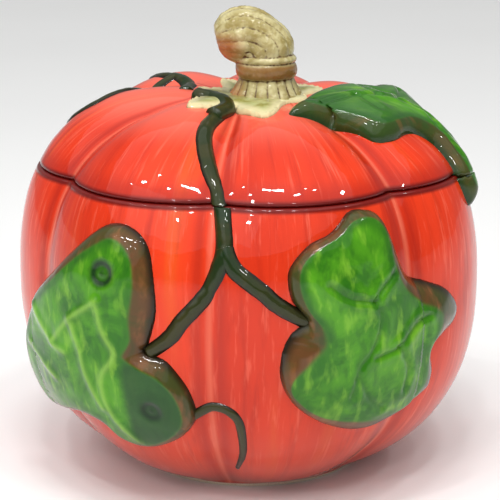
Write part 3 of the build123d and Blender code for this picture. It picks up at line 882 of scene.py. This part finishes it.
def vine_group():
    group = bpy.data.node_groups.new("vine_rod", "GeometryNodeTree")
    add = partial(add_node, group)

    def entrance(name, kind, value=None):
        socket = group.interface.new_socket(name, in_out="INPUT", socket_type="NodeSocket" + kind)
        if value is not None:
            socket.default_value = value

    entrance("Curve", "Geometry")
    entrance("Radius", "Float", 4 * MM)
    entrance("Taper", "Float", 0.2)
    entrance("Knobble", "Float", 0.3 * MM)
    entrance("Material", "Material")
    group.interface.new_socket("Mesh", in_out="OUTPUT", socket_type="NodeSocketGeometry")
    given = {socket.name: socket for socket in add("NodeGroupInput", {}).outputs}
    inputs = {"Curve": given["Curve"], "Length": RING_SPACING}
    curve = add("GeometryNodeResampleCurve", inputs, mode="LENGTH")
    along = add("GeometryNodeSplineParameter", {}).outputs["Factor"]
    power = add("calculate", along, 1.6, operation="POWER")
    loss = add("calculate", power, given["Taper"], operation="MULTIPLY")
    left_over = add("calculate", 1.0, loss, operation="SUBTRACT")
    scale = add("calculate", left_over, given["Radius"], operation="MULTIPLY")
    profile = add("GeometryNodeCurvePrimitiveCircle", {"Resolution": 28, "Radius": 1.0})
    inputs = {"Curve": curve.outputs[0], "Profile Curve": profile.outputs[0], "Fill Caps": True}
    rod = add("GeometryNodeCurveToMesh", {**inputs, "Scale": scale})
    place = add("GeometryNodeInputPosition", {}).outputs[0]
    lumps = add("noise", place, 170.0, 2.0)  # knobbles about 6 mm apart
    signed = add("calculate", lumps, 0.5, operation="SUBTRACT")
    amount = add("calculate", signed, given["Knobble"], operation="MULTIPLY")
    outward = add("GeometryNodeInputNormal", {}).outputs[0]
    move = add("ShaderNodeVectorMath", {0: outward, "Scale": amount}, operation="SCALE")
    moved = add("GeometryNodeSetPosition", {"Geometry": rod.outputs[0], "Offset": move.outputs[0]})
    real = add("GeometryNodeRealizeInstances", {"Geometry": moved.outputs[0]})
    inputs = {"Geometry": real.outputs[0], "Material": given["Material"]}
    painted = add("GeometryNodeSetMaterial", inputs)
    add("NodeGroupOutput", {0: painted.outputs[0]})
    return group


vine_nodes = vine_group()
sockets = {item.name: item.identifier for item in vine_nodes.interface.items_tree if item.in_out == "INPUT"}


def lay_vine(name, body, node, runs, radius, sink, taper, side_of_seam, brown):
    """Bakes the runs of one vine. A run is (route in longitude and latitude, height of the route's wall)."""
    curve = bpy.data.curves.new(name + "_route", "CURVE")
    curve.dimensions = "3D"
    for route, wall in runs:
        track = open_curve(route, 12) / MM
        points = skin(track[:, 0], track[:, 1], wall - sink)
        spline = curve.splines.new("POLY")
        spline.points.add(len(points) - 1)
        spline.points.foreach_set("co", np.c_[points, np.ones(len(points))].ravel())
    source = add_object(name + "_route", curve)
    modifier = source.modifiers.new("rod", "NODES")
    modifier.node_group = vine_nodes
    modifier[sockets["Radius"]] = radius
    modifier[sockets["Taper"]] = taper
    modifier[sockets["Knobble"]] = radius * 0.16
    modifier[sockets["Material"]] = vine_glaze
    work = bmesh.new()
    work.from_mesh(baked_mesh(source))
    if side_of_seam:
        level = Vector((0, 0, SEAM + side_of_seam * 0.3 * MM))
        everything = work.verts[:] + work.edges[:] + work.faces[:]
        direction = Vector((0, 0, -side_of_seam))
        plane = {"plane_co": level, "plane_no": direction}
        cut = bmesh.ops.bisect_plane(work, geom=everything, clear_outer=True, **plane)
        rim_edges = [g for g in cut["geom_cut"] if isinstance(g, bmesh.types.BMEdge)]
        bmesh.ops.holes_fill(work, edges=rim_edges, sides=0)
    vertices = np.array([tuple(v.co) for v in work.verts])
    work.verts.index_update()
    faces = [[v.index for v in face.verts] for face in work.faces]
    work.free()
    gaps = []
    for vertex in vertices:
        nearest, normal, _, _ = ribbed_tree.find_nearest(vertex)
        away = Vector(vertex) - nearest
        gaps.append(math.copysign(away.length, away.dot(normal) * (1 if normal.dot(nearest) > 0 else -1)))
    rise = np.clip(np.array(gaps) / (radius - sink), 0, 1)
    run = np.clip(brown + (0.125 - vertices[:, 2]) / 0.03 * (1 - brown), 0, 1)
    return mesh_object(name, vertices, faces, vine_glaze, body, [node], {"rise": rise, "run": run})


# %% Vines
FRONT_VINE = ((-7, 32), (-6, 22), (-6, 16), (-7.5, 11), (-10.5, 6), (-15.5, 1.5), (-24, -4))
FRONT_FORK = ((-6, 18), (-4, 13), (-1, 10), (3, 7), (7, 4), (14, 1))
BACK_VINE = ((-150, 32), (-153, 22), (-158, 14), (-165, 8), (-172, 4))
TENDRIL = ((-15, -21), (-10, -18), (-6, -18), (-3, -21), (-2, -27), (-2, -36), (-4, -46))
CALYX_VINE = ((-60, 81), (-42, 82), (-26, 80.5), (-18, 78), (-18, 75), (-20, 71))
LID_FRONT = ((-19, 75), (-20, 66), (-18, 58), (-15, 51), (-12, 43), (-9, 36), (-7, 26))
LID_BACK = ((-85, 80), (-112, 80), (-127, 75), (-132, 66), (-138, 54), (-145, 42), (-150, 26))
LID_LEFT = ((-130, 72), (-112, 68), (-98, 64), (-90, 58), (-90, 51), (-95, 44), (-101, 41))
CALYX_WALL = 2.4 * MM
VINES = (  # node, body, runs, radius and sink in mm, taper, side of the seam, brownness
    ("vine_front", "jar", ((FRONT_VINE, 0), (FRONT_FORK, 0)), 5.0, 3.0, 0.1, -1, 0.1),
    ("vine_back", "jar", ((BACK_VINE, 0),), 5.0, 3.0, 0.1, -1, 0.1),
    ("tendril", "jar", ((TENDRIL, 0),), 2.7, 0.8, 0.5, 0, 0.3),
    ("vine_lid_front", "lid", ((LID_FRONT, 0), (CALYX_VINE, CALYX_WALL)), 4.4, 2.7, 0.0, 1, 0.75),
    ("vine_lid_back", "lid", ((LID_BACK, 0), (LID_LEFT, 0)), 4.4, 2.7, 0.1, 1, 0.6),
)
for node, body, runs, radius, sink, taper, side_of_seam, brown in VINES:
    lay_vine(f"{node}_rod", body, node, runs, radius * MM, sink * MM, taper, side_of_seam, brown)

# %% [markdown]
# ## The stem
#
# A lump of clay rolled, bent over and pressed down: a pleated skirt, a collar, and a head whose ribs run
# up from the collar and over to a blunt cut end. Rings of points make two overlapping lumps, a voxel
# remesh turns them into one, and the creases are then measured so that they can be painted darker brown.

# %% Stem
STEM = Vector((7.5 * MM, -9.0 * MM, 0))
STEM_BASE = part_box("stem_knob")[0][2]
SKIRT_PLEATS = 17
HEAD_RIBS = 13
skirt_rings = (  # height above the calyx, radius, pleat depth, all in mm
    (-3, 17.6, 0.8), (-1.2, 17.4, 1.5), (0.6, 16.9, 2.0), (3, 15.4, 1.7), (5.5, 14.0, 1.1),
    (7.2, 13.1, 0.5), (7.9, 12.9, 0.2), (8.6, 13.8, 0.1), (10.4, 14.5, 0), (13, 14.6, 0.1),
    (14.8, 13.9, 0.1), (15.4, 13.5, 0.1), (16.2, 14.3, 0.2), (17.2, 14.5, 0.2), (18.2, 13.8, 0.2),
    (19, 12.6, 0.2), (21, 11.5, 0),
)
head_rings = (  # across and up from the stem's foot in mm, tilt in degrees, radius
    (0.0, 14.0, 0, 11.5), (0.0, 17.5, 2, 12.8), (0.1, 20.5, 8, 13.5), (-1.0, 23.2, 24, 13.6),
    (-4.0, 25.6, 45, 13.1), (-7.0, 27.0, 65, 13.5), (-10.0, 27.6, 80, 13.9), (-13.5, 27.5, 92, 13.6),
    (-17.3, 27.0, 98, 12.2), (-20.3, 26.3, 101, 10.2), (-22.4, 25.8, 103, 7.6), (-23.3, 25.6, 104, 5.0),
    (-22.6, 25.8, 104, 2.2),
)


def ring_solid(rings):
    """A closed mesh from rings of (centre, right, forward, radii)."""
    count = len(rings[0][3])
    turn = np.arange(count) * 2 * math.pi / count
    rows = []
    for centre, right, forward, radii in rings:
        ring = np.outer(radii * np.cos(turn), right) + np.outer(radii * np.sin(turn), forward)
        rows.append(np.array(centre) + ring)
    vertices = np.concatenate(rows)
    start = np.arange(count)
    faces = quads_between(len(rows), count) + [start[::-1], start + (len(rows) - 1) * count]
    return vertices, [tuple(int(i) for i in face) for face in faces]


def smooth_rings(table, steps):
    """The table's columns at steps times as many places, by Catmull-Rom."""
    table = [np.array(row, dtype=float) for row in table]
    dense = []
    for index in range(len(table) - 1):
        a = table[max(index - 1, 0)]
        b, c = table[index], table[index + 1]
        d = table[min(index + 2, len(table) - 1)]
        for share in np.arange(steps) / steps:
            bend = (2 * a - 5 * b + 4 * c - d) * share**2 + (3 * b - a - 3 * c + d) * share**3
            dense.append(b + 0.5 * ((c - a) * share + bend))
    return dense + [table[-1]]


def pleat(turn, count, phase):
    """Rounded ribs with sharp creases between them, from 0 in a crease to 1."""
    return np.abs(np.sin(count * turn / 2 + phase)) ** 0.55


def build_stem():
    turn = np.arange(200) * 2 * math.pi / 200
    skirt = []
    for height, radius, depth in smooth_rings(skirt_rings, 3):
        radii = (radius - depth * (1 - pleat(turn, SKIRT_PLEATS, 0.4))) * MM
        uneven = 0.35 * MM * np.sin(3 * turn + height * 0.2)
        skirt.append((STEM + Vector((0, 0, STEM_BASE + height * MM)), (1, 0, 0), (0, 1, 0), radii + uneven))
    head = []
    for across, up, tilt, radius in smooth_rings(head_rings, 4):
        lean = math.radians(tilt)
        travel = (up - 14) / 14 + max(0, -across) / 22
        ribs = pleat(turn, HEAD_RIBS, 0.5 + 0.55 * travel)
        radii = radius * MM * (1 - 0.085 * min(1, travel * 1.6) * (1 - ribs))
        centre = STEM + Vector((across * MM, -0.06 * across * MM, STEM_BASE + up * MM))
        head.append((centre, (math.cos(lean), 0, math.sin(lean)), (0, 1, 0), radii))
    vertices, faces = ring_solid(skirt)
    more, more_faces = ring_solid(head)
    faces += [tuple(i + len(vertices) for i in face) for face in more_faces]
    rough = bpy.data.meshes.new("stem_rough")
    rough.from_pydata([tuple(v) for v in np.concatenate([vertices, more])], [], faces)
    lump = add_object("stem_rough", rough)
    remesh = lump.modifiers.new("weld", "REMESH")
    remesh.mode = "VOXEL"
    remesh.voxel_size = 0.42 * MM
    soften = lump.modifiers.new("soften", "SMOOTH")
    soften.iterations = 2
    return baked_mesh(lump)


stem_mesh = build_stem()
points = np.empty(len(stem_mesh.vertices) * 3)
stem_mesh.vertices.foreach_get("co", points)
points = points.reshape(-1, 3)
middle = points.mean(axis=0)
lumps = [noise.noise(Vector(p) * 330) + 0.8 * noise.noise(Vector(p) * 900) for p in points]
points += 0.22 * MM * np.array(lumps)[:, None] * (points - middle) / (20 * MM)
ends = np.array([tuple(edge.vertices) for edge in stem_mesh.edges])
normals = np.array([tuple(v.normal) for v in stem_mesh.vertices])


def blurred(values, rounds):
    """Values averaged over neighbours, several times."""
    degree = np.bincount(ends.ravel(), minlength=len(values))[:, None]
    for _ in range(rounds):
        total = np.zeros_like(values)
        np.add.at(total, ends[:, 0], values[ends[:, 1]])
        np.add.at(total, ends[:, 1], values[ends[:, 0]])
        values = total / degree
    return values


hollow_depth = ((blurred(points, 10) - points) * normals).sum(axis=1)
hollow_value = np.clip(hollow_depth / (0.35 * MM), 0, 1)
local = (points - np.array([STEM.x, STEM.y, STEM_BASE])) / MM
cut_value = np.clip((-9 - local[:, 0]) / 8, 0, 1) * np.clip((31 - local[:, 2]) / 7, 0, 1)
band_value = np.clip((local[:, 2] - 7.6) / 1.2, 0, 1) * np.clip((15.4 - local[:, 2]) / 1.5, 0, 1)
stem_faces = [tuple(face.vertices) for face in stem_mesh.polygons]
stem_table = {"hollow": hollow_value, "cut": cut_value, "band": band_value}
mesh_object("stem_curled_knob", points, stem_faces, stem_glaze, "lid", ["stem_knob"], stem_table)
print("stem", len(stem_faces), "faces")

# %% [markdown]
# ## Floor, light and camera
#
# The pot is seen a little from above, standing on a wide white floor. The glaze mirrors what lights it, so
# besides a big soft box there are a few small bright lamps, which give the sharp white glints of a glossy
# glaze.

# %% Floor and lights


def paint_floor(add, shader):
    position = add("object_position")
    cloud = add("noise", position, 3.0, 2.0)
    color = add("mix", cloud, "#f6f6f5", "#f1f1f0")
    shader.id_data.links.new(color, shader.inputs["Base Color"])
    shader.inputs["Roughness"].default_value = 0.6
    shader.inputs["Specular IOR Level"].default_value = 0.2


floor_material = new_material("pale_paper_floor", "orange_glaze", paint_floor)
floor_mesh = bpy.data.meshes.new("floor")
floor_mesh.from_pydata([(-6, -4, 0), (6, -4, 0), (6, 10, 0), (-6, 10, 0)], [], [(0, 1, 2, 3)])
floor_mesh.materials.append(floor_material)
add_object("floor", floor_mesh)

world = bpy.data.worlds.new("white_room")
bpy.context.scene.world = world
world.use_nodes = True
world.node_tree.nodes["Background"].inputs["Color"].default_value = hex_color("#ffffff")
world.node_tree.nodes["Background"].inputs["Strength"].default_value = 0.25
TARGET = Vector((0, 0, 0.1018))


def lamp(name, azimuth, elevation, reach, width, height, power):
    """A rectangular lamp aimed at the jar, placed by its direction from it. Azimuth 0 is the front."""
    a, e = math.radians(azimuth), math.radians(elevation)
    direction = Vector((math.sin(a) * math.cos(e), -math.cos(a) * math.cos(e), math.sin(e)))
    data = bpy.data.lights.new(name, "AREA")
    data.shape = "RECTANGLE"
    data.size = width
    data.size_y = height
    data.energy = power
    light = add_object(name, data)
    light.location = TARGET + direction * reach
    light.rotation_euler = (-direction).to_track_quat("-Z", "Y").to_euler()


lamp("soft_front", -38, 38, 1.7, 1.3, 1.1, 3.5)
sky_data = bpy.data.lights.new("soft_sky", "SUN")
sky_data.energy = 1.5
sky_data.angle = math.radians(115)
add_object("soft_sky", sky_data).rotation_euler = (math.radians(18), math.radians(-8), 0)
GLINTS = (  # azimuth, elevation, width and height of each small lamp
    (-13, 68, 0.150, 0.045), (5, 68, 0.150, 0.045), (-5, 47, 0.060, 0.052), (-27, 55, 0.050, 0.066),
    (-68, 58, 0.046, 0.048), (-62, 66, 0.030, 0.040), (-74, 50, 0.030, 0.030), (60, 60, 0.060, 0.036),
    (80, 48, 0.100, 0.026), (46, 66, 0.040, 0.036), (-36, 62, 0.054, 0.048), (26, 62, 0.120, 0.044),
    (17, 44, 0.050, 0.054), (-21, 35, 0.044, 0.050),
)
GLINT_POWER = 430  # watts for each square metre
for number, (azimuth, elevation, width, height) in enumerate(GLINTS):
    lamp(f"glint_{number}", azimuth, elevation, 1.5, width, height, GLINT_POWER * width * height)

# %% Camera
camera_data = bpy.data.cameras.new("camera")
camera_data.sensor_width = 36
camera_data.lens = 132.1
camera = bpy.data.objects.new("camera", camera_data)
rise_angle = math.radians(14.94)
camera.location = TARGET + Vector((0, -math.cos(rise_angle), math.sin(rise_angle))) * 0.9
camera.rotation_euler = (TARGET - camera.location).to_track_quat("-Z", "Y").to_euler()
bpy.context.scene.collection.objects.link(camera)
bpy.context.scene.camera = camera
bpy.context.scene.view_settings.view_transform = "Standard"
print("camera", [round(v, 3) for v in camera.location])
